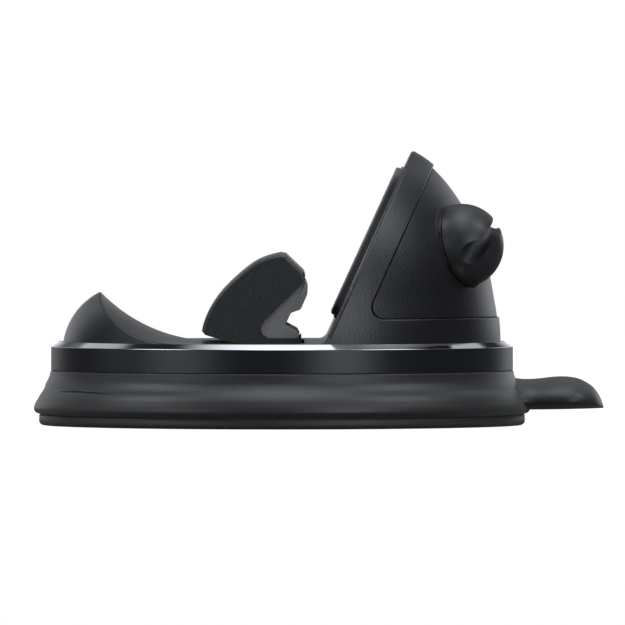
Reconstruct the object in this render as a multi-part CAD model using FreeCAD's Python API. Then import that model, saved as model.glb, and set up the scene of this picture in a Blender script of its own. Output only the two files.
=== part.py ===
"""Dashboard phone mount: a soft round base with a turntable, a sprung jaw and a cable clip.

Millimetres. +Z is up, +X points from the jaw to the tower, and the origin is the centre of the
sticky foot's underside. Every function below returns the solid of one separate piece.
"""
import FreeCAD, Part
import math
import os
from FreeCAD import Vector

# ---- foot and base stack, bottom to top ----
PAD_R = 51.7            # sticky foot disc
PAD_TOP = 2.3
PAD_EDGE = 1.0          # rounded lower edge
SKIRT_TOP = 11.6
SKIRT_BORE_R = 46.25
SKIRT_SIDE = [(51.3, 2.3), (52.2, 2.6), (52.65, 3.05), (52.8, 3.65), (52.55, 4.5), (52.05, 5.4),
              (51.65, 6.2), (51.2, 7.1), (50.6, 7.9), (50.15, 8.8), (49.75, 9.7), (49.45, 10.6),
              (49.3, 11.6)]
TAB_TOP = [(48.0, 10.3), (50.6, 9.85), (52.8, 9.8), (55.0, 9.95), (57.0, 10.2), (59.2, 10.35),
           (61.3, 10.25), (63.4, 9.8), (65.5, 8.65), (66.6, 7.65), (67.7, 6.0), (68.4, 3.9)]
TAB_BOTTOM = [(68.0, 3.55), (65.0, 3.45), (58.0, 3.3), (48.0, 3.2)]
TAB_HALF = [(48.0, 13.0), (53.0, 10.6), (58.0, 11.2), (62.5, 11.0), (66.2, 8.2), (68.0, 4.0), (68.4, 0.0)]

PLATE_R = 46.2          # hard tray inside the skirt
PLATE_TOP = 11.6
PLATE_DECK = 2.2
PLATE_WALL = 2.6
HUB_BORE_R = 7.08
HUB_BOSS_R = 10.5
HUB_BOSS_BOTTOM = 6.4
RIB_COUNT = 6
RIB_THICK = 1.8

RING_R = 49.15          # bezel ring
RING_BOTTOM = 11.65
RING_SHOULDER = 16.7    # start of the bright chamfer
RING_TOP = 17.8
RING_LAND_R = 47.45
RING_BORE_R = 46.95
RING_ROUND = 0.12
FLANGE_R = 40.5
FLANGE_TOP = 12.9

BASE_SCREW_PCR = 42.5
BASE_SCREW_ANGLES = [0, 60, 120, 180, 240, 300]
BASE_BOSS_R = 2.2
BASE_BOSS_BOTTOM = 7.4
BASE_SCREW_LONG = 5.6
HUB_WASHER = (9.6, 2.1, 1.0)            # outer radius, bore radius, thickness
HUB_SCREW_HEAD = (3.6, 1.6)             # radius, height
HUB_SCREW_R = 2.0
SPRING_WASHER = (7.5, 9.3, 0.35, 0.7)   # inner radius, outer radius, thickness, height

# ---- turntable ----
FLOOR_TOP = 17.8
FLOOR_THICK = 2.2
FLOOR_R = 46.5
RIM_BOTTOM = 13.4
WALL = 2.2
DISC_R = 40.0           # turntable plate
DISC_BOTTOM = 12.12
DISC_TOP = 14.0
HUB_R = 7.0
GLIDE_RING = (33.0, 37.5, 11.6, 12.1)
HOUSING_SCREW_PCR = 37.0
HOUSING_SCREW_ANGLES = [0, 60, 120, 180, 240, 300]
HOUSING_HEAD_Z = 13.3   # underside of those screws' seats
HOUSING_SCREW_LONG = 3.4
COVER_SCREW_LONG = 9.0
LOW_HEAD_TALL = 1.05

# ---- wing and tower, as turned profiles (radius, height) cut by planes ----
WING_ARC = (32.3, 15.4, 14.43)          # centre radius, centre height, arc radius
SCOOP_AXIS_X = -120.0                   # the hollow of the wing is turned about this upright axis
SCOOP_ARC = (-14.05, 51.75, 33.95)      # centre x, centre z, arc radius
FACE_ANGLE = 65.4                       # lean of the tower's front face
FACE_FOOT_X = 9.05
FACE_FILLET = 2.0
FRAME_DEPTH = 5.52                      # front frame, measured square to the face
STRIP_TOP = 23.0                        # top of the frame's foot strip
SPLIT_CORNER = 2.6
SPLIT_GAP = 0.12
RIM_ROUND = 0.45
ARCH_ROUND = 0.65                       # round edge of the tower's front arch
SPINE = (1.8, 9.5, 46.0)                # middle rib behind the tower face: thickness, depth, top
SMALL_ROUND = 0.3
FRAME_BACK_SPOTS = [(28.0, 27.6, 46.0), (28.0, -27.6, 46.0)]
STRIP_TOP_SPOTS = [(39.6, 23.9, 23.0), (39.6, -23.9, 23.0)]
RECESS_SPOTS = [(18.65, -18.1, 38.8), (11.85, -16.9, 23.9), (11.35, 0.0, 22.8)]
TOWER_SIDE = [(46.5, 17.8), (46.45, 20.0), (46.2, 23.0), (45.6, 27.5), (43.2, 37.5), (38.95, 46.7),
              (35.4, 52.0), (31.1, 56.35), (27.9, 58.35), (20.0, 62.2), (0.0, 66.0)]
COVER_SIDE = [(45.85, 21.5), (45.7, 23.5), (45.2, 26.5), (44.45, 30.8), (42.4, 38.2), (38.35, 46.7),
              (35.0, 51.5), (31.5, 55.2), (27.0, 58.7), (0.0, 66.0)]

# ---- backrest on the tower face, in face coordinates (along the slope, square to it) ----
REST_LOW, REST_HIGH = 5.6, 40.6
REST_HALF = 18.0
REST_CORNER = 4.0
REST_RECESS = 1.1
REST_PLATE = 1.6
REST_PAD = 0.9

# ---- sprung jaw ----
JAW_HALF = 26.0
JAW_PIVOT = (-11.4, 14.2)
JAW_BACK = [(-16.9, 20.3), (-16.15, 23.1), (-14.8, 25.7), (-12.95, 28.3), (-10.95, 30.4), (-8.15, 32.9),
            (-5.4, 34.85), (-2.6, 36.0), (-0.2, 36.55)]
JAW_NOSE = [(0.9, 36.35), (4.65, 32.75), (4.95, 31.9), (4.75, 31.0)]
JAW_TAIL = [(-8.0, 17.5), (-10.9, 18.0), (-12.8, 18.45), (-16.2, 19.5)]
JAW_LIP = [(4.1, 19.2), (4.1, 17.5)]
RUBBER_BED = [(4.3, 30.4), (-4.0, 22.3), (-4.66, 20.7), (-4.2, 19.4), (-3.0, 18.7), (3.6, 18.7)]
RUBBER_FACE = [(3.75, 19.35), (3.3, 20.3), (0.8, 21.66), (1.9, 24.15), (4.0, 24.9), (5.4, 28.1),
               (5.5, 29.6), (5.0, 31.0), (4.6, 30.75)]
RUBBER_INSET = 0.7
JAW_ROUND = 0.8
JAW_HEEL_X, JAW_HEEL_Z = -10.0, 20.3    # the wide bevel runs from the heel over the back
JAW_NOSE_Z = 32.0                       # and down the nose to this height
KNUCKLE_R = 1.9
KNUCKLE_SPAN = (9.0, 24.5)
KNUCKLE_ROOM = (14.1, 16.4)             # how far forward and up the housing is hollowed for a knuckle
ARM_X = (-9.4, -5.4)                    # arms from the jaw down to its knuckles
ARM_BOTTOM = 12.8
WEB_TOP = 15.3
PIN_R = 1.0
PIN_HALF = 28.3
WELL_X = (-10.6, 4.75)                  # opening in the floor
WELL_HALF = 26.6
WELL_WALL = 2.0
HINGE_WALL = 3.5
SPRING_X = -7.0
SPRING_Y = 4.5
SPRING_R = 2.0
SPRING_WIRE = 0.3
SPRING_TOP = 18.3
SPRING_ROOM = 0.4
SPRING_SWING = 1.6                      # how far the jaw's end of a spring moves forward
SPRING_TURNS = 5

# ---- cable clip on the cover's rear quarter ----
CLIP_CENTRE = (38.1, -18.4, 38.3)
CLIP_NORMAL = (0.876, -0.427, 0.225)
CLIP_ALONG = (0.277, 0.826, 0.491)      # direction of the cable channel
CLIP_R = 8.9
CLIP_GAP = 0.3
CHANNEL_UP, CHANNEL_SIDE, CHANNEL_R = 5.2, 1.05, 2.25
SLOT_SIDES = (1.95, 1.2)                # entry slot, below and above the channel's middle
SLOT_TURN = 12.0
STEM_R = 2.5
SEAT_DEPTH = 3.6

FIT = 0.06              # radial clearance of a running fit
SCREW_R = 1.25
HEAD_R = 2.1
HEAD_TALL = 1.4
POST_R = 2.8
POST_GAP = 1.7          # from a cover screw's seat to the end of its post
SPOT = 0.4              # how near an edge's middle is to the spot that names it
SAW = 120.0             # size of a cutting block, larger than the part


def cyl(r, z0, z1, x=0.0, y=0.0):
    return Part.makeCylinder(r, z1 - z0, Vector(x, y, z0))


def ring(r_out, r_in, z0, z1):
    return cyl(r_out, z0, z1).cut(cyl(r_in, z0 - 1, z1 + 1))


def block(x0, x1, y0, y1, z0, z1):
    return Part.makeBox(x1 - x0, y1 - y0, z1 - z0, Vector(x0, y0, z0))


def polar(r, deg):
    return r * math.cos(math.radians(deg)), r * math.sin(math.radians(deg))


def spline(points):
    curve = Part.BSplineCurve()
    curve.interpolate(points)
    return curve.toShape()


def line(a, b):
    return Part.makeLine(a, b)


def turn(edges, axis_x=0.0):
    """Solid of revolution of a closed XZ outline about an upright axis."""
    face = Part.Face(Part.Wire(edges))
    return face.revolve(Vector(axis_x, 0, 0), Vector(0, 0, 1), 360)


def turn_polygon(points):
    pts = [Vector(r, 0, z) for r, z in points]
    return turn([line(a, b) for a, b in zip(pts, pts[1:] + pts[:1])])


def prism(edges, half):
    """Closed XZ outline thickened equally to both sides of the XZ plane."""
    face = Part.Face(Part.Wire(edges))
    face.translate(Vector(0, -half, 0))
    return face.extrude(Vector(0, 2 * half, 0))


def chain(points):
    return [line(a, b) for a, b in zip(points, points[1:])]


def xz(points):
    return [Vector(x, 0, z) for x, z in points]


def solid_of(shape):
    """The shape as one clean solid."""
    shape = shape.removeSplitter()
    return max(shape.Solids, key=lambda s: s.Volume)


def screw(base, direction, shank, tall=HEAD_TALL):
    """Pan-head screw: head under the base point, shank along the direction."""
    d = Vector(*direction).normalize()
    p = Vector(*base)
    crown = p - d * tall
    head = Part.makeCylinder(HEAD_R, tall, crown, d)
    rim = [e for e in head.Edges if e.Closed and (e.CenterOfMass - crown).Length < 0.01]
    head = head.makeFillet(0.45, rim)
    drive = Part.makeCylinder(0.8, tall * 0.6, crown, d)
    return solid_of(head.cut(drive).fuse(Part.makeCylinder(SCREW_R, shank, p, d)))


def middle_of(edge):
    return edge.valueAt((edge.FirstParameter + edge.LastParameter) / 2)


def rounded(shape, radius, spots):
    """The shape with a fillet on every edge whose middle lies at one of the spots."""
    edges = [e for e in shape.Edges if any((middle_of(e) - Vector(*s)).Length < SPOT for s in spots)]
    return shape.makeFillet(radius, edges)


def group(shapes):
    return Part.makeCompound(shapes)


# ---- face coordinates of the leaning tower front ----
LEAN = math.radians(FACE_ANGLE)
UP_FACE = Vector(math.cos(LEAN), 0, math.sin(LEAN))
OFF_FACE = Vector(-math.sin(LEAN), 0, math.cos(LEAN))       # points towards the phone
FOOT = Vector(FACE_FOOT_X, 0, FLOOR_TOP)


def on_face(along, off, y=0.0):
    return FOOT + UP_FACE * along + OFF_FACE * off + Vector(0, y, 0)


def behind_face(depth):
    """Everything further back than a plane parallel to the face."""
    pts = [on_face(along, -off) for along, off in
           ((-SAW, depth), (SAW, depth), (SAW, depth + SAW), (-SAW, depth + SAW))]
    return prism(chain(pts + pts[:1]), SAW)


def behind_split(gap):
    """Region of the rear cover: behind the frame and above its foot strip, round in the corner."""
    z = STRIP_TOP + gap
    depth = FRAME_DEPTH + gap
    along = (z - FLOOR_TOP + depth * OFF_FACE.z) / UP_FACE.z
    corner = on_face(along, -depth)
    across = Vector(1, 0, 0)
    reach = SPLIT_CORNER / math.tan(LEAN / 2)
    inward = (UP_FACE + across).normalize()
    middle = corner + inward * (SPLIT_CORNER / math.sin(LEAN / 2) - SPLIT_CORNER)
    start, end = corner + UP_FACE * reach, corner + across * reach
    far = [corner + across * SAW, corner + across * SAW + UP_FACE * SAW, corner + UP_FACE * SAW]
    edges = [Part.Arc(start, middle, end).toShape()] + chain([end] + far + [start])
    return prism(edges, SAW)


def turned_side(side, inset=0.0):
    """Solid turned from a smooth side profile, optionally moved inwards along its normal."""
    pts = [Vector(r, 0, z) for r, z in side]
    moved = []
    for i, p in enumerate(pts):
        a, b = pts[max(i - 1, 0)], pts[min(i + 1, len(pts) - 1)]
        t = (b - a).normalize()
        moved.append(p + Vector(-t.z, 0, t.x) * inset)
    if inset:
        moved[0].z = pts[0].z
        moved[-1].x = 0
    base = Vector(0, 0, moved[0].z)
    return turn([spline(moved)] + chain([moved[-1], base, moved[0]]))


# ---- base body ----
def sticky_foot():
    disc = cyl(PAD_R, 0, PAD_TOP)
    lower = [e for e in disc.Edges if e.Closed and e.CenterOfMass.z < 0.01]
    return disc.makeFillet(PAD_EDGE, lower)


def pull_tab():
    """Soft grip tongue: its side profile and its plan, each thickened, where they overlap."""
    top, bottom = xz(TAB_TOP), xz(TAB_BOTTOM)
    side = prism([spline(top), line(top[-1], bottom[0]), spline(bottom), line(bottom[-1], top[0])], 20)
    right = [Vector(x, -y, 0) for x, y in TAB_HALF]
    left = [Vector(x, y, 0) for x, y in reversed(TAB_HALF[:-1])]
    plan_edges = [spline(right + left), line(left[-1], right[0])]
    plan = Part.Face(Part.Wire(plan_edges)).extrude(Vector(0, 0, 20))
    return side.common(plan)


def silicone_skirt():
    side = xz(SKIRT_SIDE)
    inner = xz([(SKIRT_BORE_R, SKIRT_TOP), (SKIRT_BORE_R, PAD_TOP)])
    body = turn([spline(side)] + chain([side[-1]] + inner + [side[0]]))
    tab = pull_tab().cut(cyl(SKIRT_BORE_R + 0.5, 0, 20))
    return solid_of(body.fuse(tab).cut(cyl(SAW, 0, PAD_TOP)))


def base_plate():
    """Stiff tray with a bearing boss, screw columns and ribs."""
    tray = cyl(PLATE_R, PAD_TOP, PLATE_TOP)
    tray = tray.cut(cyl(PLATE_R - PLATE_WALL, PAD_TOP - 1, PLATE_TOP - PLATE_DECK))
    tray = tray.fuse(cyl(HUB_BOSS_R, HUB_BOSS_BOTTOM, PLATE_TOP - PLATE_DECK))
    for i in range(RIB_COUNT):
        rib = block(HUB_BOSS_R - 1, PLATE_R - 1, -RIB_THICK / 2, RIB_THICK / 2,
                    HUB_BOSS_BOTTOM, PLATE_TOP - PLATE_DECK)
        rib.rotate(Vector(), Vector(0, 0, 1), 30 + 60 * i)
        tray = tray.fuse(rib)
    for deg in BASE_SCREW_ANGLES:
        x, y = polar(BASE_SCREW_PCR, deg)
        tray = tray.fuse(cyl(BASE_BOSS_R + 1.3, BASE_BOSS_BOTTOM - 1.6, PLATE_TOP, x, y).common(
            cyl(PLATE_R, 0, 20)))
        tray = tray.cut(cyl(BASE_BOSS_R + FIT, BASE_BOSS_BOTTOM, 20, x, y))
        tray = tray.cut(cyl(SCREW_R + FIT, 0, 20, x, y))
        tray = tray.cut(cyl(HEAD_R + 0.3, 0, BASE_BOSS_BOTTOM - 1.6, x, y))
    return solid_of(tray.cut(cyl(HUB_BORE_R, 0, 20)))


def bezel_ring():
    """Dark band with a polished chamfer, an inner flange and its screw bosses."""
    outline = [(RING_LAND_R, RING_TOP), (RING_R, RING_SHOULDER), (RING_R, RING_BOTTOM),
               (FLANGE_R, RING_BOTTOM), (FLANGE_R, FLANGE_TOP), (RING_BORE_R, FLANGE_TOP),
               (RING_BORE_R, RING_TOP)]
    body = turn_polygon(outline)
    for deg in BASE_SCREW_ANGLES:
        x, y = polar(BASE_SCREW_PCR, deg)
        body = body.fuse(cyl(BASE_BOSS_R, BASE_BOSS_BOTTOM + 0.05, FLANGE_TOP - 0.5, x, y))
        body = body.cut(cyl(SCREW_R, 0, BASE_BOSS_BOTTOM + 4.3, x, y))
    body = solid_of(body)
    rims = [e for e in body.Edges if isinstance(e.Curve, Part.Circle)
            and e.Curve.Radius > RING_BORE_R - 0.01 and abs(e.CenterOfMass.z - FLANGE_TOP) > 0.5]
    return body.makeFillet(RING_ROUND, rims)


def base_screws():
    head_z = BASE_BOSS_BOTTOM - 1.6
    return group([screw((*polar(BASE_SCREW_PCR, deg), head_z), (0, 0, 1), BASE_SCREW_LONG)
                  for deg in BASE_SCREW_ANGLES])


def glide_ring():
    return ring(GLIDE_RING[1], GLIDE_RING[0], GLIDE_RING[2], GLIDE_RING[3])


def spring_washer():
    """Shallow cone that presses the turntable's hub washer away from the boss."""
    inner, outer, thick, tall = SPRING_WASHER
    high = HUB_BOSS_BOTTOM - 0.02
    low = high - tall
    return turn_polygon([(inner, low), (outer, high - thick), (outer, high), (inner, low + thick)])


# ---- turntable body ----
def turntable_plate():
    plate = cyl(DISC_R, DISC_BOTTOM, DISC_TOP).fuse(cyl(HUB_R, HUB_BOSS_BOTTOM - 0.7, DISC_TOP))
    plate = plate.cut(cyl(2.0, 0, DISC_TOP - 1.2))
    x, z = JAW_PIVOT
    for s in (-1, 1):
        y0, y1 = sorted((s * (KNUCKLE_SPAN[0] - 0.6), s * (KNUCKLE_SPAN[1] + 0.6)))
        plate = plate.cut(block(x - KNUCKLE_R - 0.8, ARM_X[1] + 0.5, y0, y1, 0, 20))
        plate = plate.cut(cyl(SPRING_R + 0.3, DISC_TOP - 0.4, 20, SPRING_X, s * SPRING_Y))
    plate = plate.cut(block(x - PIN_R, x + PIN_R, -PIN_HALF - 0.05, PIN_HALF + 0.05, z - PIN_R, 20))
    for deg in HOUSING_SCREW_ANGLES:
        plate = plate.cut(cyl(SCREW_R + FIT, 0, 20, *polar(HOUSING_SCREW_PCR, deg)))
        plate = plate.cut(cyl(HEAD_R + 0.3, 0, HOUSING_HEAD_Z, *polar(HOUSING_SCREW_PCR, deg)))
    return solid_of(plate)


def wing():
    """Curled front wing: the turned rim profile, less the hollow turned about a remote axis."""
    cr, cz, rad = WING_ARC
    foot_r = cr + math.sqrt(rad ** 2 - (FLOOR_TOP - cz) ** 2)
    foot, crown = Vector(foot_r, 0, FLOOR_TOP), Vector(cr, 0, cz + rad)
    mid = Vector(cr + rad * math.cos(math.radians(50)), 0, cz + rad * math.sin(math.radians(50)))
    axis_top, axis_foot = Vector(0, 0, cz + rad), Vector(0, 0, FLOOR_TOP)
    outer = turn([Part.Arc(foot, mid, crown).toShape()] + chain([crown, axis_top, axis_foot, foot]))
    shell = outer.cut(scoop(0.0))
    rim = [e for e in shell.Edges if isinstance(e.Curve, Part.BSplineCurve)]
    return shell.makeFillet(RIM_ROUND, rim)


def scoop(inset):
    """Space above the wing's hollow, optionally thickened to leave a wall."""
    cx, cz, rad = SCOOP_ARC
    rad += inset
    start = Vector(cx, 0, cz - rad)
    angles = (math.radians(235), math.radians(200))
    mid, end = [Vector(cx + rad * math.cos(a), 0, cz + rad * math.sin(a)) for a in angles]
    corners = [Vector(end.x, 0, SAW), Vector(SAW, 0, SAW), Vector(SAW, 0, start.z)]
    edges = [Part.Arc(start, mid, end).toShape()] + chain([end] + corners + [start])
    return turn(edges, SCOOP_AXIS_X)


def wing_hollow():
    """Core that makes the wing a shell, open downwards."""
    cr, cz, rad = WING_ARC
    r_in = rad - WALL
    foot_z = RIM_BOTTOM
    foot = Vector(FLOOR_R - WALL, 0, foot_z)
    knee = Vector(cr + math.sqrt(r_in ** 2 - (FLOOR_TOP - cz) ** 2), 0, FLOOR_TOP)
    crown = Vector(cr, 0, cz + r_in)
    mid = Vector(cr + r_in * math.cos(math.radians(50)), 0, cz + r_in * math.sin(math.radians(50)))
    chain_down = chain([crown, Vector(0, 0, cz + r_in), Vector(0, 0, foot_z), foot, knee])
    outer = turn([Part.Arc(knee, mid, crown).toShape()] + chain_down)
    return outer.cut(scoop(WALL)).common(block(-SAW, -24, -SAW, SAW, 0, SAW))


def rest_outline(grow, low, high):
    """Rounded backrest outline between two levels off the tower face."""
    half = REST_HALF + grow
    a, b = REST_LOW - grow, REST_HIGH + grow
    slab = Part.makeBox(2 * half, b - a, high - low)
    corners = [e for e in slab.Edges if abs(e.tangentAt(0).z) > 0.9]
    slab = slab.makeFillet(REST_CORNER, corners)
    turn_to_face = FreeCAD.Matrix(0, UP_FACE.x, OFF_FACE.x, 0, 1, 0, 0, 0, 0, UP_FACE.z, OFF_FACE.z, 0)
    slab = slab.transformGeometry(turn_to_face)
    slab.translate(on_face(a, low, -half))
    return slab


def cover_screw_seats():
    """Base point and direction of the four cover screws: two behind the backrest, two from below."""
    seats = [(on_face(33, -WALL + 0.9, s * 9), OFF_FACE * -1) for s in (-1, 1)]
    seats += [(Vector(30, s * 28, FLOOR_TOP - FLOOR_THICK + 0.6), Vector(0, 0, 1)) for s in (-1, 1)]
    return seats


def face_fillet():
    """Small concave fillet where the tower's face meets the floor."""
    angle = math.pi - LEAN
    reach = FACE_FILLET / math.tan(angle / 2)
    back = Vector(-1, 0, 0)
    inward = (back + UP_FACE).normalize()
    start, end = FOOT + back * reach, FOOT + UP_FACE * reach
    middle = FOOT + inward * (FACE_FILLET / math.sin(angle / 2) - FACE_FILLET)
    root = [FOOT + UP_FACE * reach + Vector(2, 0, 0), FOOT + Vector(2, 0, -1), start + Vector(0, 0, -1)]
    edges = [Part.Arc(start, middle, end).toShape()] + chain([end] + root + [start])
    return prism(edges, SAW).common(cyl(FLOOR_R, 0, FLOOR_TOP).fuse(turned_side(TOWER_SIDE)))


def upper_housing():
    """One moulding: floor, rim, wing and the tower's front frame with its foot strip."""
    body = cyl(FLOOR_R, RIM_BOTTOM, FLOOR_TOP)
    body = body.cut(cyl(FLOOR_R - WALL, RIM_BOTTOM - 1, FLOOR_TOP - FLOOR_THICK))
    tower = turned_side(TOWER_SIDE).common(behind_face(0))
    arch = [e for e in tower.Edges if isinstance(e.Curve, Part.BSplineCurve)
            and abs((middle_of(e) - FOOT).dot(OFF_FACE)) < 0.01]
    tower = tower.makeFillet(ARCH_ROUND, arch)
    tower = tower.cut(behind_split(0.0))
    body = body.fuse(tower).fuse(face_fillet())
    inside = turned_side(TOWER_SIDE, WALL).common(behind_face(WALL))
    body = body.cut(inside.common(block(-SAW, SAW, -SAW, SAW, FLOOR_TOP, SAW)))
    thick, depth, top = SPINE
    spine = turned_side(TOWER_SIDE, WALL + 0.5).common(behind_face(WALL - 0.3)).cut(behind_face(depth))
    body = body.fuse(spine.common(block(-SAW, SAW, -thick / 2, thick / 2, FLOOR_TOP - 1, top)))
    body = body.fuse(wing()).cut(wing_hollow())
    x0, x1 = WELL_X
    walls = block(x0 - HINGE_WALL, x1 + WELL_WALL, -WELL_HALF - WELL_WALL, WELL_HALF + WELL_WALL,
                  DISC_TOP, FLOOR_TOP - FLOOR_THICK)
    body = body.fuse(walls).cut(block(x0, x1, -WELL_HALF, WELL_HALF, 0, SAW))
    px, pz = JAW_PIVOT
    for s in (-1, 1):
        y0, y1 = sorted((s * (KNUCKLE_SPAN[0] - 0.3), s * (KNUCKLE_SPAN[1] + 0.3)))
        body = body.cut(block(-KNUCKLE_ROOM[0], x0, y0, y1, 0, KNUCKLE_ROOM[1]))
    slot = block(px - PIN_R, px + PIN_R, -PIN_HALF - 0.05, PIN_HALF + 0.05, 0, pz)
    bore = Part.makeCylinder(PIN_R, 2 * PIN_HALF + 0.1, Vector(px, -PIN_HALF - 0.05, pz), Vector(0, 1, 0))
    body = body.cut(slot).cut(bore)
    for deg in HOUSING_SCREW_ANGLES:
        x, y = polar(HOUSING_SCREW_PCR, deg)
        boss = cyl(POST_R, DISC_TOP, FLOOR_TOP - 1, x, y)
        body = body.fuse(boss.cut(wing_hollow()) if x < 0 else boss)
        body = body.cut(cyl(SCREW_R, 0, FLOOR_TOP - 0.9, x, y))
    body = body.cut(rest_outline(0.1, -REST_RECESS, 5))
    for base, direction in cover_screw_seats():
        hole = Part.makeCylinder(SCREW_R + FIT, 20, base - direction * 10, direction)
        head = Part.makeCylinder(HEAD_R + 0.3, 10, base - direction * 10, direction)
        body = body.cut(hole).cut(head)
    return rounded(solid_of(body), SMALL_ROUND, FRAME_BACK_SPOTS + STRIP_TOP_SPOTS + RECESS_SPOTS)


def rear_cover():
    """Domed shell behind the frame, with screw posts and the clip's round seat."""
    region = behind_split(SPLIT_GAP)
    shell = turned_side(COVER_SIDE).cut(turned_side(COVER_SIDE, WALL)).common(region)
    for base, direction in cover_screw_seats():
        foot = base + direction * POST_GAP
        post = Part.makeCylinder(POST_R, 60, foot, direction)
        shell = shell.fuse(post.common(turned_side(COVER_SIDE, 0.4)))
    for base, direction in cover_screw_seats():
        shell = shell.cut(Part.makeCylinder(SCREW_R, 10.5, base, direction))
    c, n = Vector(*CLIP_CENTRE), Vector(*CLIP_NORMAL).normalize()
    seat = Part.makeCylinder(CLIP_R + CLIP_GAP + 1.6, 12, c - n * SEAT_DEPTH, n)
    plug = Part.makeCylinder(CLIP_R, SEAT_DEPTH - CLIP_GAP, c - n * SEAT_DEPTH, n)
    shell = shell.fuse(seat.common(turned_side(COVER_SIDE, 0.2)).common(region)).fuse(plug)
    shell = shell.cut(Part.makeCylinder(CLIP_R + CLIP_GAP, 20, c - n * CLIP_GAP, n))
    shell = shell.cut(Part.makeCylinder(STEM_R + FIT, 20, c - n * 10, n))
    return solid_of(shell)


def housing_screws():
    return group([screw((*polar(HOUSING_SCREW_PCR, deg), HOUSING_HEAD_Z), (0, 0, 1),
                        HOUSING_SCREW_LONG, LOW_HEAD_TALL)
                  for deg in HOUSING_SCREW_ANGLES])


def cover_screws():
    return group([screw(tuple(base), tuple(direction), COVER_SCREW_LONG)
                  for base, direction in cover_screw_seats()])


def hub_washer():
    outer, bore, thick = HUB_WASHER
    top = HUB_BOSS_BOTTOM - SPRING_WASHER[3] - 0.04
    return ring(outer, bore, top - thick, top)


def hub_screw():
    """Screw that holds the washer to the turntable's hub, with a round drive."""
    radius, tall = HUB_SCREW_HEAD
    top = HUB_BOSS_BOTTOM - SPRING_WASHER[3] - 0.04 - HUB_WASHER[2]
    head = cyl(radius, top - tall, top)
    rim = [e for e in head.Edges if e.Closed and e.CenterOfMass.z < top - tall + 0.01]
    head = head.makeFillet(0.5, rim).cut(cyl(1.3, top - tall - 0.1, top - 0.7))
    return solid_of(head.fuse(cyl(HUB_SCREW_R, top, DISC_TOP - 1.4)))


def backrest_plate():
    plate = rest_outline(0.0, -REST_RECESS, REST_PLATE - REST_RECESS)
    for base, direction in cover_screw_seats()[:2]:
        crown = base - direction * HEAD_TALL
        plate = plate.cut(Part.makeCylinder(HEAD_R + 0.3, HEAD_TALL, crown, direction))
    return solid_of(plate)


def backrest_pad():
    """Rubber pad with shallow grooves across it."""
    low = REST_PLATE - REST_RECESS
    pad = rest_outline(-0.5, low, low + REST_PAD)
    top = [e for e in pad.Edges if all(abs((v.Point - FOOT).dot(OFF_FACE) - low - REST_PAD) < 0.01
                                       for v in e.Vertexes)]
    return solid_of(pad.makeFillet(0.4, top))


# ---- jaw body ----
def jaw_outline():
    back, nose = xz(JAW_BACK), xz(JAW_NOSE)
    bed, tail, lip = xz(RUBBER_BED), xz(JAW_TAIL), xz(JAW_LIP)
    return [spline(back)] + chain([back[-1]] + nose + bed + lip + tail + [back[0]])


def jaw_body():
    """Fin with bevelled flanks, hinge arms and knuckles below and pockets for the springs."""
    body = prism(jaw_outline(), JAW_HALF)
    flank = [e for e in body.Edges if abs(middle_of(e).y) > JAW_HALF - 0.01]
    seen = [e for e in flank if middle_of(e).z > JAW_NOSE_Z or middle_of(e).x < JAW_HEEL_X]
    body = body.makeFillet(JAW_ROUND, [e for e in seen if middle_of(e).z > JAW_HEEL_Z])
    x, z = JAW_PIVOT
    for s in (-1, 1):
        y0, y1 = sorted((s * KNUCKLE_SPAN[0], s * KNUCKLE_SPAN[1]))
        body = body.fuse(Part.makeCylinder(KNUCKLE_R, y1 - y0, Vector(x, y0, z), Vector(0, 1, 0)))
        body = body.fuse(block(x, ARM_X[0] + 1, y0, y1, ARM_BOTTOM, WEB_TOP))
        body = body.fuse(block(*ARM_X, y0, y1, ARM_BOTTOM, FLOOR_TOP + 0.4))
        half = SPRING_R + SPRING_ROOM
        body = body.cut(block(SPRING_X - half, SPRING_X + half + SPRING_SWING, s * SPRING_Y - half,
                              s * SPRING_Y + half, 0, SPRING_TOP))
    body = body.cut(Part.makeCylinder(PIN_R + FIT, 2 * JAW_HALF, Vector(x, -JAW_HALF, z), Vector(0, 1, 0)))
    return solid_of(body)


def jaw_rubber():
    """Stepped grip insert; its faces lie parallel to the backrest for two phone depths."""
    bed, face = xz(RUBBER_BED), xz(RUBBER_FACE)
    return prism(chain(bed + face + [bed[0]]), JAW_HALF - RUBBER_INSET)


def jaw_pin():
    x, z = JAW_PIVOT
    pin = Part.makeCylinder(PIN_R, 2 * PIN_HALF, Vector(x, -PIN_HALF, z), Vector(0, 1, 0))
    return pin.makeChamfer(0.25, [e for e in pin.Edges if e.Closed])


def jaw_springs():
    """Two extension springs that pull the jaw down onto its stop, between plate and jaw."""
    low = DISC_TOP - 0.4 + SPRING_WIRE
    high = SPRING_TOP - SPRING_WIRE - 0.02
    springs = []
    for s in (-1, 1):
        path = Part.makeHelix((high - low) / SPRING_TURNS, high - low, SPRING_R - SPRING_WIRE)
        start = Vector(SPRING_R - SPRING_WIRE, 0, 0)
        loop = Part.Wire(Part.makeCircle(SPRING_WIRE, start, Vector(0, 1, 0)))
        coil = Part.Wire(path).makePipeShell([loop], True, True)
        coil.translate(Vector(SPRING_X, s * SPRING_Y, low))
        springs.append(coil)
    return group(springs)


# ---- clip body ----
def clip_frame():
    """Clip centre, outward axis, channel direction and the third direction square to both."""
    n = Vector(*CLIP_NORMAL).normalize()
    along = Vector(*CLIP_ALONG).normalize()
    side = n.cross(along).normalize()
    return Vector(*CLIP_CENTRE), n, side.cross(n).normalize(), side


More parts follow.
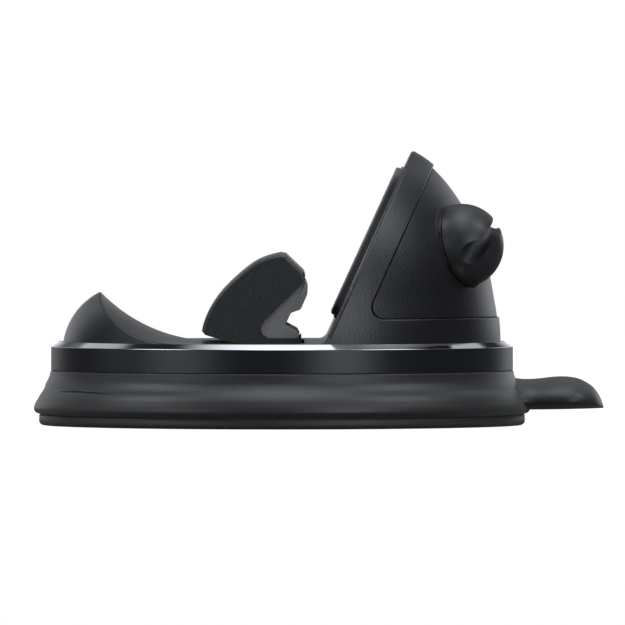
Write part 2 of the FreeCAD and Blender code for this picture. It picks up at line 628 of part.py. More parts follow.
def cable_clip():
    """Half-ball with a cable channel, a slanted entry slot and a stem."""
    c, n, along, side = clip_frame()
    ball = Part.makeSphere(CLIP_R, c)
    front = Part.makeCylinder(CLIP_R + 1, CLIP_R + 1, c, n)
    knob = ball.common(front)
    hole = c + n * CHANNEL_UP + side * CHANNEL_SIDE
    knob = knob.cut(Part.makeCylinder(CHANNEL_R, 40, hole - along * 20, along))
    tilt = math.radians(SLOT_TURN)
    out = n * math.cos(tilt) + side * math.sin(tilt)
    across = side * math.cos(tilt) - n * math.sin(tilt)
    p = [hole + across * k - along * 20 for k in (-SLOT_SIDES[0], SLOT_SIDES[1])]
    wire = Part.Wire(chain([p[0], p[0] + out * 12, p[1] + out * 12, p[1], p[0]]))
    knob = knob.cut(Part.Face(wire).extrude(along * 40))
    knob = knob.fuse(Part.makeCylinder(STEM_R, SEAT_DEPTH + 0.3 + 0.5, c - n * (SEAT_DEPTH + 0.3), n))
    return solid_of(knob.cut(Part.makeCylinder(SCREW_R, SEAT_DEPTH + 2.6, c - n * (SEAT_DEPTH + 0.4), n)))


def clip_washer():
    c, n, _, _ = clip_frame()
    low = c - n * (SEAT_DEPTH + 0.3 + 0.8)
    washer = Part.makeCylinder(4.6, 0.8, low, n)
    return solid_of(washer.cut(Part.makeCylinder(SCREW_R + 0.1, 2, low - n, n)))


def clip_screw():
    c, n, _, _ = clip_frame()
    return screw(tuple(c - n * (SEAT_DEPTH + 0.3 + 0.8)), tuple(n), SEAT_DEPTH + 2.6)


PIECES = {
    "sticky_foot_pad": sticky_foot,
    "silicone_skirt": silicone_skirt,
    "base_plate": base_plate,
    "bezel_ring": bezel_ring,
    "base_screws": base_screws,
    "glide_ring": glide_ring,
    "spring_washer": spring_washer,
    "turntable_plate": turntable_plate,
    "upper_housing": upper_housing,
    "housing_screws": housing_screws,
    "rear_cover": rear_cover,
    "cover_screws": cover_screws,
    "hub_washer": hub_washer,
    "hub_screw": hub_screw,
    "backrest_plate": backrest_plate,
    "backrest_pad": backrest_pad,
    "jaw_body": jaw_body,
    "jaw_rubber": jaw_rubber,
    "jaw_pin": jaw_pin,
    "jaw_springs": jaw_springs,
    "cable_clip": cable_clip,
    "clip_washer": clip_washer,
    "clip_screw": clip_screw,
}

os.makedirs("parts", exist_ok=True)
for name, build in PIECES.items():
    shape = build()
    print(name, shape.ShapeType, len(shape.Solids), "valid" if shape.isValid() else "INVALID",
          round(shape.Volume, 2))
    shape.exportStep("parts/" + name + ".step")
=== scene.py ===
"""Looks of the dashboard phone mount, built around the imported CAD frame. Lengths here are in mm."""
import bmesh
import bpy
import math
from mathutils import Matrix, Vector

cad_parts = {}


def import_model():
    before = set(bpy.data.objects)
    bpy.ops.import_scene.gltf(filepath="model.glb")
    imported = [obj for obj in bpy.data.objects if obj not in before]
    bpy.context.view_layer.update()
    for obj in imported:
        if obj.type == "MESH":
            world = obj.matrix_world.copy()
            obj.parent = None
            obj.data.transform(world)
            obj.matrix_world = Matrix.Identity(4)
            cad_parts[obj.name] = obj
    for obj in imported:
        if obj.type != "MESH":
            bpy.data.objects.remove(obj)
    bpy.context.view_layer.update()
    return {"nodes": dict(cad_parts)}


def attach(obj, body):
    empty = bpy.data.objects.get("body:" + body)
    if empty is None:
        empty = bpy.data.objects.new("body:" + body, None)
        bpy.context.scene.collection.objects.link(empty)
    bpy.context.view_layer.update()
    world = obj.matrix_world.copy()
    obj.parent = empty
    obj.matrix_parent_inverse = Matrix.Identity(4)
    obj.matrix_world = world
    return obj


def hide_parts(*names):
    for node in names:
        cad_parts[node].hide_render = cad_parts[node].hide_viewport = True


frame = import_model()
nodes = frame["nodes"]
MM = 0.001

# ---------------------------------------------------------------- materials


def new_material(name):
    """Material, its node tree and its main shader."""
    m = bpy.data.materials.new(name)
    m.use_nodes = True
    nt = m.node_tree
    return m, nt, nt.nodes["Principled BSDF"]


def ramp(nt, source, low, high, out_low, out_high):
    """The source's range low to high, mapped in a straight line to out_low to out_high."""
    n = nt.nodes.new("ShaderNodeMapRange")
    n.inputs["From Min"].default_value, n.inputs["From Max"].default_value = low, high
    n.inputs["To Min"].default_value, n.inputs["To Max"].default_value = out_low, out_high
    nt.links.new(source, n.inputs["Value"])
    return n.outputs["Result"]


def noise(nt, coords, scale, detail, rough):
    """Noise pattern over the coordinates, with scale in cells per metre."""
    n = nt.nodes.new("ShaderNodeTexNoise")
    n.inputs["Scale"].default_value = scale
    n.inputs["Detail"].default_value = detail
    n.inputs["Roughness"].default_value = rough
    nt.links.new(coords, n.inputs["Vector"])
    return n.outputs["Fac"]


MIX_FACTOR, MIX_A, MIX_B, MIX_COLOUR = 0, 6, 7, 2   # a Mix node's sockets when it mixes colours


def tint(nt, fac, dark, light):
    """Colour between dark and light by the factor."""
    n = nt.nodes.new("ShaderNodeMix")
    n.data_type = "RGBA"
    n.inputs[MIX_A].default_value = (*dark, 1)
    n.inputs[MIX_B].default_value = (*light, 1)
    nt.links.new(fac, n.inputs[MIX_FACTOR])
    return n.outputs[MIX_COLOUR]


MARK_SCALE = 90.0                           # handling marks, cells per metre
MARK_SHARE, GRAIN_SHARE = 0.45, 0.55        # their parts in the pattern, with the grain's
GRAIN_HEIGHT = 0.0002


def plastic(name, dark, light, rough, grain=1400.0, bump=0.02, spread=0.06, specular=0.5,
            sheen=0.0, edge=0.0, metallic=0.0):
    """Moulded surface: fine grain in colour, roughness and height, with slow handling marks.

    dark and light are linear colours, and edge is the width in metres that sharp edges shade round.
    """
    m, nt, bsdf = new_material(name)
    coords = nt.nodes.new("ShaderNodeTexCoord").outputs["Object"]
    fine = noise(nt, coords, grain, 2.0, 0.6)
    slow = noise(nt, coords, MARK_SCALE, 4.0, 0.6)
    mixed = nt.nodes.new("ShaderNodeMath")
    mixed.operation = "MULTIPLY_ADD"
    mixed.inputs[1].default_value = MARK_SHARE
    nt.links.new(slow, mixed.inputs[0])
    nt.links.new(ramp(nt, fine, 0.3, 0.7, 0.0, GRAIN_SHARE), mixed.inputs[2])
    nt.links.new(tint(nt, mixed.outputs[0], dark, light), bsdf.inputs["Base Color"])
    nt.links.new(ramp(nt, mixed.outputs[0], 0.1, 0.9, rough - spread, rough + spread),
                 bsdf.inputs["Roughness"])
    bsdf.inputs["Specular IOR Level"].default_value = specular
    bsdf.inputs["Metallic"].default_value = metallic
    if sheen:
        bsdf.inputs["Sheen Weight"].default_value = sheen
        bsdf.inputs["Sheen Roughness"].default_value = 0.5
    relief = nt.nodes.new("ShaderNodeBump")
    relief.inputs["Strength"].default_value = bump
    relief.inputs["Distance"].default_value = GRAIN_HEIGHT
    nt.links.new(fine, relief.inputs["Height"])
    if edge:
        rounded = nt.nodes.new("ShaderNodeBevel")
        rounded.samples = 6
        rounded.inputs["Radius"].default_value = edge
        nt.links.new(rounded.outputs["Normal"], relief.inputs["Normal"])
    nt.links.new(relief.outputs["Normal"], bsdf.inputs["Normal"])
    return m


MAT = {
    "housing": plastic("housing_grain", (0.007, 0.0073, 0.008), (0.011, 0.0115, 0.0125), 0.36,
                       grain=2600, bump=0.30, specular=0.6),
    "cover": plastic("cover_grain", (0.006, 0.0063, 0.007), (0.010, 0.0105, 0.0115), 0.38,
                     grain=2600, bump=0.30, specular=0.55, edge=0.00025),
    "ring": plastic("bezel_satin", (0.007, 0.0075, 0.008), (0.011, 0.0115, 0.0125), 0.30,
                    grain=900, bump=0.03, spread=0.03),
    "silicone": plastic("skirt_silicone", (0.014, 0.0143, 0.015), (0.020, 0.0205, 0.0215), 0.43,
                        grain=1500, bump=0.10, sheen=0.15),
    "gel": plastic("gel_pad", (0.024, 0.0245, 0.0255), (0.034, 0.035, 0.0365), 0.50,
                   grain=1200, bump=0.12, sheen=0.1),
    "jaw": plastic("jaw_grain", (0.021, 0.022, 0.0235), (0.028, 0.0295, 0.0315), 0.40,
                   grain=3600, bump=0.14),
    "grip": plastic("grip_rubber", (0.20, 0.198, 0.195), (0.25, 0.248, 0.244), 0.62,
                    grain=1800, bump=0.15, sheen=0.2),
    "rest": plastic("rest_frame", (0.085, 0.087, 0.091), (0.105, 0.108, 0.113), 0.34,
                    grain=1400, bump=0.1, edge=0.00015),
    "pad": plastic("rest_rubber", (0.062, 0.064, 0.067), (0.080, 0.082, 0.086), 0.50,
                   grain=1700, bump=0.25, sheen=0.15),
    "clip": plastic("clip_satin", (0.018, 0.0185, 0.0195), (0.026, 0.0265, 0.028), 0.42,
                    grain=900, bump=0.04),
    "inner": plastic("inner_plastic", (0.03, 0.03, 0.032), (0.05, 0.05, 0.053), 0.5, grain=700, bump=0.1),
    "acetal": plastic("white_acetal", (0.72, 0.72, 0.69), (0.82, 0.82, 0.80), 0.35, grain=500, bump=0.05),
    "steel": plastic("zinc_steel", (0.50, 0.50, 0.51), (0.62, 0.62, 0.63), 0.28, grain=600, bump=0.08,
                     metallic=1.0),
    "spring": plastic("spring_steel", (0.38, 0.37, 0.35), (0.5, 0.49, 0.47), 0.3, grain=800, bump=0.05,
                      metallic=1.0),
}
NODE_MATERIAL = {
    "base_plate": "inner", "turntable_plate": "inner", "bezel_ring": "ring", "glide_ring": "acetal",
    "upper_housing": "housing", "rear_cover": "cover", "backrest_plate": "rest", "cable_clip": "clip",
    "jaw_body": "jaw", "jaw_rubber": "grip", "silicone_skirt": "silicone", "sticky_foot_pad": "gel",
    "backrest_pad": "pad", "base_screws": "steel", "housing_screws": "steel", "cover_screws": "steel",
    "hub_washer": "steel", "hub_screw": "steel", "jaw_pin": "steel", "clip_washer": "steel",
    "clip_screw": "steel", "spring_washer": "spring", "jaw_springs": "spring",
}


CHAMFER_LOW, CHAMFER_HIGH = 16.66, 17.79    # heights of the bezel ring's polished chamfer
FADE_LOW, FADE_HIGH = 0.05, 0.03            # how sharply the polish starts and ends
POLISH_COLOUR, POLISH_ROUGH = (0.80, 0.81, 0.83), 0.09


def polish_chamfer(m, low, high):
    """The bezel ring's material turns to bright polished metal between two heights in mm."""
    nt = m.node_tree
    out = nt.nodes["Material Output"]
    satin = nt.nodes["Principled BSDF"]
    metal = nt.nodes.new("ShaderNodeBsdfPrincipled")
    metal.inputs["Base Color"].default_value = (*POLISH_COLOUR, 1)
    metal.inputs["Metallic"].default_value = 1.0
    metal.inputs["Roughness"].default_value = POLISH_ROUGH
    coords = nt.nodes.new("ShaderNodeTexCoord").outputs["Object"]
    axes = nt.nodes.new("ShaderNodeSeparateXYZ")
    nt.links.new(coords, axes.inputs[0])
    above = ramp(nt, axes.outputs["Z"], low * MM, (low + FADE_LOW) * MM, 0.0, 1.0)
    below = ramp(nt, axes.outputs["Z"], (high - FADE_HIGH) * MM, high * MM, 1.0, 0.0)
    both = nt.nodes.new("ShaderNodeMath")
    both.operation = "MULTIPLY"
    nt.links.new(above, both.inputs[0])
    nt.links.new(below, both.inputs[1])
    mix = nt.nodes.new("ShaderNodeMixShader")
    nt.links.new(both.outputs[0], mix.inputs[0])
    nt.links.new(satin.outputs[0], mix.inputs[1])
    nt.links.new(metal.outputs[0], mix.inputs[2])
    nt.links.new(mix.outputs[0], out.inputs["Surface"])


EDGE_WIDTH = {"jaw_body": 0.20, "cable_clip": 0.12, "backrest_plate": 0.20}
SHARP_EDGE = 35                             # degrees between faces from which an edge is rounded
EVEN_SHADED = ("upper_housing", "rear_cover", "jaw_body", "bezel_ring", "cable_clip", "backrest_plate")
EVEN_WEIGHT = 50


def dress_nodes():
    """Materials, small edge rounds and even shading for the pieces that come from the frame."""
    polish_chamfer(MAT["ring"], CHAMFER_LOW, CHAMFER_HIGH)
    for name, key in NODE_MATERIAL.items():
        mesh = nodes[name].data
        mesh.materials.clear()
        mesh.materials.append(MAT[key])
    for name, width in EDGE_WIDTH.items():
        edge = nodes[name].modifiers.new("edge_round", "BEVEL")
        edge.width, edge.segments, edge.limit_method = width * MM, 2, "ANGLE"
        edge.angle_limit = math.radians(SHARP_EDGE)
    for name in EVEN_SHADED:
        even = nodes[name].modifiers.new("even_normals", "WEIGHTED_NORMAL")
        even.mode, even.weight, even.keep_sharp = "FACE_AREA_WITH_ANGLE", EVEN_WEIGHT, True


dress_nodes()

# ---------------------------------------------------------------- mesh helpers


def mesh_object(name, bm, material):
    """Scene object made from a bmesh, which is freed."""
    me = bpy.data.meshes.new(name)
    bm.to_mesh(me)
    bm.free()
    me.materials.append(material)
    ob = bpy.data.objects.new(name, me)
    bpy.context.scene.collection.objects.link(ob)
    return ob


def skin(bm, rings):
    """Rows of vertices at rings of points in mm, with each closed ring joined to the next one."""
    rows = [[bm.verts.new(Vector(p) * MM) for p in ring] for ring in rings]
    n = len(rows[0])
    for a, b in zip(rows, rows[1:]):
        for i in range(n):
            j = (i + 1) % n
            bm.faces.new((a[i], a[j], b[j], b[i]))
    return rows


WELD = 1e-7                                 # metres


def shell(name, rings, material, caps=False):
    """Mesh object through rings of points in mm, with a flat face on both ends if caps is true."""
    bm = bmesh.new()
    rows = skin(bm, rings)
    if caps:
        bm.faces.new(rows[0])
        bm.faces.new(rows[-1])
    bmesh.ops.remove_doubles(bm, verts=bm.verts, dist=WELD)
    bmesh.ops.recalc_face_normals(bm, faces=bm.faces)
    return mesh_object(name, bm, material)


def smooth(ob, angle):
    """Shades smooth, keeping creases sharper than the angle in degrees."""
    me = ob.data
    me.shade_smooth()
    me.set_sharp_from_angle(angle=math.radians(angle))


def through(points, steps):
    """Smooth curve (Catmull-Rom) through a list of 2D points, in steps from each point to the next."""
    out = []
    for i in range(len(points) - 1):
        p0, p1 = points[max(i - 1, 0)], points[i]
        p2, p3 = points[i + 1], points[min(i + 2, len(points) - 1)]
        for k in range(steps):
            t = k / steps
            out.append(tuple(0.5 * (2 * b + (c - a) * t + (2 * a - 5 * b + 4 * c - d) * t * t
                                    + (3 * b - a - 3 * c + d) * t ** 3)
                             for a, b, c, d in zip(p0, p1, p2, p3)))
    return out + [tuple(points[-1])]


def along(points, x):
    """Second coordinate of a 2D line where its first one is x."""
    for (xa, ya), (xb, yb) in zip(points, points[1:]):
        if min(xa, xb) <= x <= max(xa, xb):
            return ya + (yb - ya) * (x - xa) / (xb - xa)
    return points[-1][1]


ROUND_TURNS = 240
CORNER_SHARE = 0.45                         # most of a side that one rounded corner may take


def lathe(name, profile, material, turns=ROUND_TURNS, shift=None):
    """Closed outline in (radius, height) turned about the upright axis; shift moves its radius."""
    rings = []
    for k in range(turns):
        a = 2 * math.pi * k / turns
        ring = []
        for r, z in profile:
            q = r + (shift(a, r, z) if shift else 0.0)
            ring.append((q * math.cos(a), q * math.sin(a), z))
        rings.append(ring)
    return shell(name, rings + rings[:1], material)


def corner_round(points, radius, steps=4):
    """Closed 2D outline with every corner replaced by a small arc."""
    out = []
    n = len(points)
    for i in range(n):
        p = Vector(points[i])
        a, b = Vector(points[i - 1]) - p, Vector(points[(i + 1) % n]) - p
        reach = min(radius, a.length * CORNER_SHARE, b.length * CORNER_SHARE)
        start, end = p + a.normalized() * reach, p + b.normalized() * reach
        for k in range(steps + 1):
            t = k / steps
            out.append(tuple(start * (1 - t) ** 2 + p * 2 * t * (1 - t) + end * t * t))
    return out


def offset(points, d):
    """Closed 2D outline moved inwards by d along its averaged normals."""
    area = sum(a[0] * b[1] - b[0] * a[1] for a, b in zip(points, points[1:] + points[:1]))
    side = 1 if area > 0 else -1
    out = []
    n = len(points)
    for i in range(n):
        t = Vector(points[(i + 1) % n]) - Vector(points[i - 1])
        t.normalize()
        out.append((points[i][0] - t.y * d * side, points[i][1] + t.x * d * side))
    return out


def apply_modifiers(ob):
    """The object's mesh becomes what its modifiers make of it."""
    graph = bpy.context.evaluated_depsgraph_get()
    done = bpy.data.meshes.new_from_object(ob.evaluated_get(graph))
    ob.modifiers.clear()
    ob.data = done


def own(ob, body, node):
    """The piece rides on the body and takes the CAD node's place."""
    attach(ob, body)
    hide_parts(node)


# ---------------------------------------------------------------- soft pieces


SKIRT_SIDE = [(51.3, 2.32), (52.2, 2.6), (52.65, 3.05), (52.8, 3.65), (52.55, 4.5), (52.05, 5.4),
              (51.65, 6.2), (51.2, 7.1), (50.6, 7.9), (50.15, 8.8), (49.75, 9.7), (49.45, 10.6),
              (49.3, 11.3)]
SKIRT_BORE, SKIRT_FOOT, SKIRT_LAND = 46.3, 2.32, 11.58
LIP = [(49.27, 11.45), (49.15, 11.55), (49.0, SKIRT_LAND)]
SKIRT_TURNS = 360
WAVE_FROM_R = 48.5                          # the bore inside this radius stays round
# Waves of the skirt, each with its height out of the surface, its level and its half width
FLANK_WAVES = ((0.14, 8.9, 0.9), (-0.16, 7.2, 0.8), (0.05, 5.0, 1.0))
FRONT_WAVES = ((0.42, 6.0, 1.5), (-0.22, 9.2, 1.3))
FLANK_NARROW = 6                            # a higher power keeps the flank waves nearer to the X axis
CREASE_Z, CREASE_DEEP, CREASE_HALF = 7.3, 0.5, 0.16
CREASE_SWAY, CREASE_SWINGS = 0.12, 5.0
CREASE_FROM, CREASE_TO = 203.0, 226.0       # degrees about the upright axis
CREASE_REACH, CREASE_STEP, CREASE_ROWS = 0.6, 0.05, 25


def bump_at(z, centre, width):
    """Bell curve of height 1."""
    return math.exp(-((z - centre) / width) ** 2)


def waves(z, rows):
    return sum(height * bump_at(z, level, half) for height, level, half in rows)


def skirt_wave(a, r, z):
    """Soft undulation of the skirt: waves on its flanks, others in front and behind, one crease."""
    if r < WAVE_FROM_R:
        return 0.0
    flank = abs(math.cos(a)) ** FLANK_NARROW
    d = flank * waves(z, FLANK_WAVES) + (1 - flank) * waves(z, FRONT_WAVES)
    deg = math.degrees(a)
    if CREASE_FROM < deg < CREASE_TO:
        t = (deg - CREASE_FROM) / (CREASE_TO - CREASE_FROM)
        level = CREASE_Z + CREASE_SWAY * math.sin(CREASE_SWINGS * t)
        d -= CREASE_DEEP * math.sin(math.pi * t) ** 0.5 * bump_at(z, level, CREASE_HALF)
    return d


TAB_WIDEST = 0.25                           # height of its widest line, as a share of its thickness
TAB_SIDES = 48
TAB_ROOT, TAB_STEP, TAB_STEPS, TAB_NEAR_END, TAB_END = 48.0, 0.5, 41, 68.2, 68.38
TAB_TOP = [(TAB_ROOT, 10.3), (50.6, 9.85), (52.8, 9.8), (55.0, 9.95), (57.0, 10.2), (59.2, 10.35),
           (61.3, 10.25), (63.4, 9.8), (65.5, 8.65), (66.6, 7.65), (67.7, 6.0), (TAB_END, 4.2)]
TAB_BOTTOM = [(TAB_ROOT, 3.2), (58.0, 3.3), (65.0, 3.45), (TAB_END, 3.6)]
TAB_HALF = [(TAB_ROOT, 13.0), (50.5, 11.2), (53.0, 10.6), (58.0, 11.2), (62.5, 11.0), (66.2, 8.2),
            (67.6, 5.4), (TAB_END, 2.6)]


def tab_ring(x, top, bottom, half):
    """One upright section of the pull tab: crowned above, nearly flat below."""
    ring = []
    widest = bottom + TAB_WIDEST * (top - bottom)
    for k in range(TAB_SIDES):
        a = 2 * math.pi * k / TAB_SIDES
        s = math.sin(a)
        z = widest + s * (top - widest if s > 0 else widest - bottom)
        ring.append((x, half * math.cos(a), z))
    return ring


def skirt_body():
    """The skirt without its tab: its side line, with extra levels at the crease, turned full circle."""
    flipped = [(z, r) for r, z in through(SKIRT_SIDE, 5)]
    crease_levels = {round(CREASE_Z - CREASE_REACH + CREASE_STEP * k, 3) for k in range(CREASE_ROWS)}
    levels = sorted({round(z, 3) for z, _ in flipped} | crease_levels)
    side = [(along(flipped, z), z) for z in levels]
    profile = side + LIP + [(SKIRT_BORE, SKIRT_LAND), (SKIRT_BORE, SKIRT_FOOT)]
    return lathe("skirt_with_pull_tab", profile, MAT["silicone"], SKIRT_TURNS, skirt_wave)


def pull_tab():
    stations = [TAB_ROOT + TAB_STEP * k for k in range(TAB_STEPS)] + [TAB_NEAR_END, TAB_END]
    top, bottom, half = through(TAB_TOP, 4), through(TAB_BOTTOM, 4), through(TAB_HALF, 4)
    rings = [tab_ring(x, along(top, x), along(bottom, x), along(half, x)) for x in stations]
    return shell("tab", rings, MAT["silicone"], caps=True)


def skirt():
    """Silicone skirt and pull tab, joined into one closed mesh."""
    body = skirt_body()
    tab = pull_tab()
    join = body.modifiers.new("tab", "BOOLEAN")
    join.operation, join.solver, join.object = "UNION", "EXACT", tab
    apply_modifiers(body)
    bpy.data.objects.remove(tab)
    smooth(body, 50)
    own(body, "base", "silicone_skirt")


PAD_R, PAD_ROUND, PAD_TOP, PAD_RECESS = 51.7, 1.0, 2.29, 0.35
PAD_ARC_STEPS, PAD_AXIS_R = 8, 0.02


def foot_pad():
    """Tacky disc: a rounded lower rim, a soft upper edge and a slightly hollow underside."""
    arc = []
    for k in range(PAD_ARC_STEPS + 1):
        a = math.radians(90 * k / PAD_ARC_STEPS)
        arc.append((PAD_R - PAD_ROUND + PAD_ROUND * math.sin(a), PAD_ROUND - PAD_ROUND * math.cos(a)))
    top = [(51.66, 2.16), (51.55, 2.26), (51.4, PAD_TOP)]
    inner = [(PAD_AXIS_R, PAD_TOP), (PAD_AXIS_R, PAD_RECESS)]
    under = [(49.0, PAD_RECESS), (49.3, 0.3), (49.5, 0.05), (49.8, 0.0)]
    ob = lathe("gel_foot_pad", inner + under + arc + top, MAT["gel"])
    smooth(ob, 60)
    own(ob, "base", "sticky_foot_pad")


LEAN = math.radians(65.4)                   # the tower's face against the floor
FOOT_X, FOOT_Z = 9.05, 17.8                 # where that face meets the floor
REST_LOW, REST_HIGH, REST_HALF, REST_CORNER = 6.1, 40.1, 17.5, 3.5
REST_LEVELS = (0.52, 1.4)                   # heights of the pad's back and front off the face
REST_ROUND = 0.42
GROOVE_PITCH, GROOVE_DEEP, GROOVE_HALF = 3.6, 0.32, 0.45
GROOVE_STOP, GROOVE_FADE = 1.6, 0.8         # the grooves fade out this far inside the pad's edge
EDGE_SAMPLES = (0.0, 0.03, 0.1, 0.2, 0.32, 0.45)
EDGE_BAND = 0.6
ROW_STEP, COLUMN_STEP = 0.15, 0.8


def on_face(u, off, y):
    """Point at distance u up the tower's face, off the face by off."""
    return (FOOT_X + math.cos(LEAN) * u - math.sin(LEAN) * off, y,
            FOOT_Z + math.sin(LEAN) * u + math.cos(LEAN) * off)


def near_ends(a, b, step_size):
    """Sample positions from a to b, closer together at both ends."""
    inner = b - a - 2 * EDGE_BAND
    count = round(inner / step_size)
    middle = [a + EDGE_BAND + inner * k / count for k in range(count + 1)]
    return [a + e for e in EDGE_SAMPLES] + middle + [b - e for e in reversed(EDGE_SAMPLES)]


def rest_half_at(u):
    """Half width of the pad at u, where its corners are rounded."""
    d = min(u - REST_LOW, REST_HIGH - u)
    if d >= REST_CORNER:
        return REST_HALF
    return REST_HALF - REST_CORNER + math.sqrt(max(REST_CORNER ** 2 - (REST_CORNER - d) ** 2, 0.0))


def rest_sink(u, y, half):
    """How far the pad's front lies low: by its rounded edge, and by a groove."""
    edge = min(half - abs(y), u - REST_LOW, REST_HIGH - u)
    drop = 0.0
    if edge < REST_ROUND:
        drop = REST_ROUND - math.sqrt(REST_ROUND ** 2 - (REST_ROUND - edge) ** 2)
    inside = min(1.0, max(0.0, (edge - GROOVE_STOP) / GROOVE_FADE))
    phase = abs((u - REST_LOW) % GROOVE_PITCH - GROOVE_PITCH / 2)
    return drop, GROOVE_DEEP * inside * bump_at(phase, 0.0, GROOVE_HALF)


def rest_pad():
    """Rubber pad: a rounded slab with cross grooves that stop short of its edges."""
    low, high = REST_LEVELS
    columns = [v / REST_HALF for v in near_ends(-REST_HALF, REST_HALF, COLUMN_STEP)]
    rings = []
    for u in near_ends(REST_LOW, REST_HIGH, ROW_STEP):
        half = rest_half_at(u)
        front, back = [], []
        for share in columns:
            y = share * half
            drop, dip = rest_sink(u, y, half)
            front.append(on_face(u, high - drop - dip, y))
            back.append(on_face(u, low, y))
        rings.append(front + back[::-1])
    bm = bmesh.new()
    rows = skin(bm, rings)
    last = 2 * len(columns) - 1
    for row in (rows[0], rows[-1]):
        for i in range(len(columns) - 1):
            bm.faces.new((row[i], row[i + 1], row[last - 1 - i], row[last - i]))
    bmesh.ops.recalc_face_normals(bm, faces=bm.faces)
    ob = mesh_object("backrest_rubber", bm, MAT["pad"])
    smooth(ob, 50)
    own(ob, "turntable", "backrest_pad")


GRIP_OUTLINE = [(4.3, 30.4), (-4.0, 22.3), (-4.66, 20.7), (-4.2, 19.4), (-3.0, 18.7), (3.6, 18.7),
                (3.75, 19.35), (3.3, 20.3), (0.8, 21.66), (1.9, 24.15), (4.0, 24.9), (5.4, 28.1),
                (5.5, 29.6), (5.0, 31.0), (4.6, 30.75)]
GRIP_CORNER = 0.35
GRIP_HALF = 25.3
GRIP_EDGE = 0.25
RIB_PITCH, RIB_DEEP, RIB_HALF = 2.2, 0.14, 0.3
RIB_REACH, RIB_SAMPLES = 22.0, 160          # the ribbed stretch on each side of the middle


def grip():
    """Stepped rubber insert of the jaw: rounded ends and shallow ribs across its grip faces."""
    outline = corner_round(GRIP_OUTLINE, GRIP_CORNER)
    arc = [math.radians(15 * k) for k in range(7)]      # a quarter turn at each end
    ends = [(GRIP_HALF - GRIP_EDGE * (1 - math.cos(a)), GRIP_EDGE * (1 - math.sin(a))) for a in arc]
    ribs = []
    for k in range(RIB_SAMPLES + 1):
        y = -RIB_REACH + 2 * RIB_REACH * k / RIB_SAMPLES
        phase = abs(y % RIB_PITCH - RIB_PITCH / 2)
        ribs.append((y, RIB_DEEP * bump_at(phase, 0.0, RIB_HALF)))
    sections = [(-y, d) for y, d in ends] + ribs + list(reversed(ends))
    rings = [[(x, y, z) for x, z in offset(outline, d)] for y, d in sections]
    ob = shell("jaw_grip_rubber", rings, MAT["grip"], caps=True)
    smooth(ob, 35)
    own(ob, "jaw", "jaw_rubber")


skirt()
foot_pad()
rest_pad()
grip()

# ---------------------------------------------------------------- stage, light and camera

VIEW_X, VIEW_Z = 6.49 * MM, 23.9 * MM       # what the middle of the picture looks at
FRAME_WIDTH = 0.13298                       # metres across the picture at that point
CAMERA_FAR = 4.0
CAMERA_ELEVATION = math.radians(0.8)
CLIP_END = 20.0


FLOOR_GLOW = 0.03                           # what the floor adds to the light; the camera sees it white


FLOOR_HALF, FLOOR_DROP = 1.2, 0.0002        # metres
FLOOR_COLOUR, FLOOR_ROUGH = (0.10, 0.10, 0.10), 0.9


def floor():
    """Pale floor that the camera sees white and that lights the object only a little."""
    bm = bmesh.new()
    bmesh.ops.create_grid(bm, x_segments=2, y_segments=2, size=FLOOR_HALF)
    m, nt, bsdf = new_material("floor_white")
    bsdf.inputs["Base Color"].default_value = (*FLOOR_COLOUR, 1)
    bsdf.inputs["Roughness"].default_value = FLOOR_ROUGH
    bsdf.inputs["Specular IOR Level"].default_value = 0.0
    bsdf.inputs["Emission Color"].default_value = (1, 1, 1, 1)
    path = nt.nodes.new("ShaderNodeLightPath")
    seen = maths(nt, "MAXIMUM", path.outputs["Is Camera Ray"], FLOOR_GLOW)
    nt.links.new(seen, bsdf.inputs["Emission Strength"])
    ob = mesh_object("floor", bm, m)
    ob.location.z = -FLOOR_DROP


def facing(nt, direction, aim, outer, inner, power):
    """Round soft panel in the world: full power within inner degrees of the aim, none beyond outer."""
    dot = nt.nodes.new("ShaderNodeVectorMath")
    dot.operation = "DOT_PRODUCT"
    nt.links.new(direction, dot.inputs[0])
    dot.inputs[1].default_value = Vector(aim).normalized()
    edge, core = math.cos(math.radians(outer)), math.cos(math.radians(inner))
    return step(nt, dot.outputs["Value"], edge, core, power)


def step(nt, source, low, high, power=1.0):
    """Smooth rise from 0 at low to power at high; high may lie below low."""
    n = nt.nodes.new("ShaderNodeMapRange")
    n.interpolation_type = "SMOOTHSTEP"
    flip = high < low
    n.inputs["From Min"].default_value, n.inputs["From Max"].default_value = min(low, high), max(low, high)
    n.inputs["To Min"].default_value = power if flip else 0.0
    n.inputs["To Max"].default_value = 0.0 if flip else power
    nt.links.new(source, n.inputs["Value"])
    return n.outputs["Result"]


def maths(nt, kind, *terms):
    """Several values joined by one Math operation, such as their sum, product or maximum."""
    total = terms[0]
    for t in terms[1:]:
        n = nt.nodes.new("ShaderNodeMath")
        n.operation = kind
        nt.links.new(total, n.inputs[0])
        if isinstance(t, float):
            n.inputs[1].default_value = t
        else:
            nt.links.new(t, n.inputs[1])
        total = n.outputs[0]
    return total


# Round soft panels: where each one stands, its outer and inner half angle in degrees, its power
PANELS = (
    ((0.0, -0.1, 1.0), 22, 8, 3.5),             # zenith
    ((0.0, -0.55, 0.85), 18, 6, 2.2),           # high in front
    ((0.05, 0.4, 0.9), 20, 5, 1.2),             # high behind
    ((-0.7, -0.1, 0.7), 18, 5, 5.0),            # high left
    ((0.65, -0.2, 0.75), 19, 5, 4.2),          # high right
    ((0.5, 0.45, 0.75), 20, 6, 0.5),            # high right, behind
    ((-0.8, -0.6, 0.05), 24, 4, 2.5),           # low left
    ((0.5, -0.85, 0.1), 20, 4, 3.5),            # low right
    ((0.5, -0.75, 0.4), 20, 6, 1.4),            # key, right of the camera
    ((-1.0, 0.0, 0.15), 20, 6, 0.6),            # far left
    ((-0.5, 0.82, 0.26), 20, 5, 0.5),           # left rim light, behind
    ((0.5, 0.85, 0.18), 18, 5, 0.9),            # right rim light, behind
)
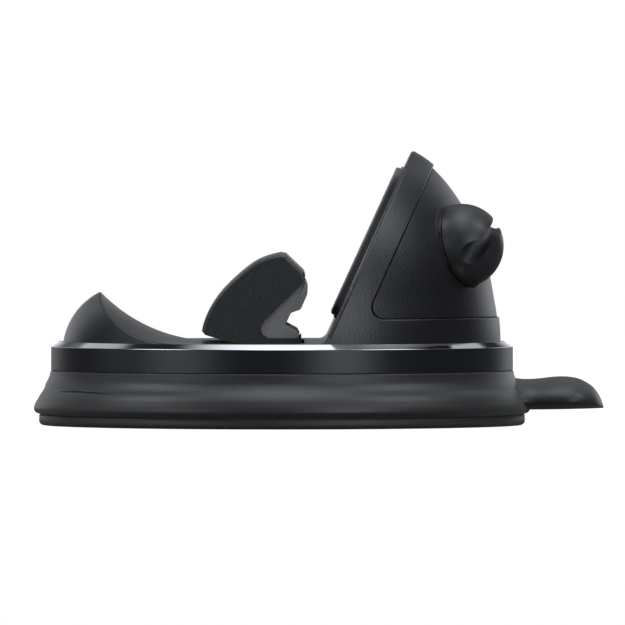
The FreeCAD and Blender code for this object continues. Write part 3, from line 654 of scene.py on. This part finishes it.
# Two bands behind the object: where each starts and is full in Y and in Z, and its power
HORIZON_Y, HORIZON_Z, HORIZON_POWER = (0.75, 0.98), (0.34, 0.03), 0.9
BACK_Y, BACK_LOW_Z, BACK_HIGH_Z, BACK_POWER = (0.55, 0.68), (0.42, 0.47), (0.70, 0.62), 0.45
AMBIENT = 0.015
LIGHT_TINT = (0.965, 0.995, 1.045)          # slightly cool


def world():
    """Dark studio with round soft panels and two bands behind; the camera itself sees it white."""
    w = bpy.data.worlds.new("studio")
    bpy.context.scene.world = w
    w.use_nodes = True
    nt = w.node_tree
    bg = nt.nodes["Background"]
    direction = nt.nodes.new("ShaderNodeTexCoord").outputs["Generated"]
    split = nt.nodes.new("ShaderNodeSeparateXYZ")
    nt.links.new(direction, split.inputs[0])
    y, z = split.outputs["Y"], split.outputs["Z"]
    horizon = maths(nt, "MULTIPLY", step(nt, y, *HORIZON_Y, HORIZON_POWER), step(nt, z, *HORIZON_Z))
    back_band = maths(nt, "MULTIPLY", step(nt, y, *BACK_Y, BACK_POWER), step(nt, z, *BACK_LOW_Z),
                      step(nt, z, *BACK_HIGH_Z))
    total = maths(nt, "ADD", horizon, back_band, AMBIENT)
    for aim, outer, inner, power in PANELS:
        total = maths(nt, "ADD", total, facing(nt, direction, aim, outer, inner, power))
    cool = nt.nodes.new("ShaderNodeVectorMath")
    cool.operation = "SCALE"
    cool.inputs[0].default_value = LIGHT_TINT
    nt.links.new(total, cool.inputs["Scale"])
    path = nt.nodes.new("ShaderNodeLightPath")
    shown = nt.nodes.new("ShaderNodeVectorMath")
    shown.operation = "MAXIMUM"
    nt.links.new(cool.outputs[0], shown.inputs[0])
    nt.links.new(path.outputs["Is Camera Ray"], shown.inputs[1])
    nt.links.new(shown.outputs[0], bg.inputs["Color"])
    bg.inputs["Strength"].default_value = 1.0


def camera():
    """Long lens, far away and almost level, looking along +Y."""
    cam = bpy.data.cameras.new("camera")
    cam.lens = cam.sensor_width * CAMERA_FAR / FRAME_WIDTH
    cam.clip_end = CLIP_END
    ob = bpy.data.objects.new("camera", cam)
    aim = Vector((VIEW_X, 0, VIEW_Z))
    back = Vector((0, -math.cos(CAMERA_ELEVATION), math.sin(CAMERA_ELEVATION)))
    ob.location = aim + back * CAMERA_FAR
    ob.rotation_euler = (-back).to_track_quat("-Z", "Y").to_euler()
    bpy.context.scene.collection.objects.link(ob)
    bpy.context.scene.camera = ob


floor()
world()
camera()
bpy.context.scene.view_settings.view_transform = "Standard"
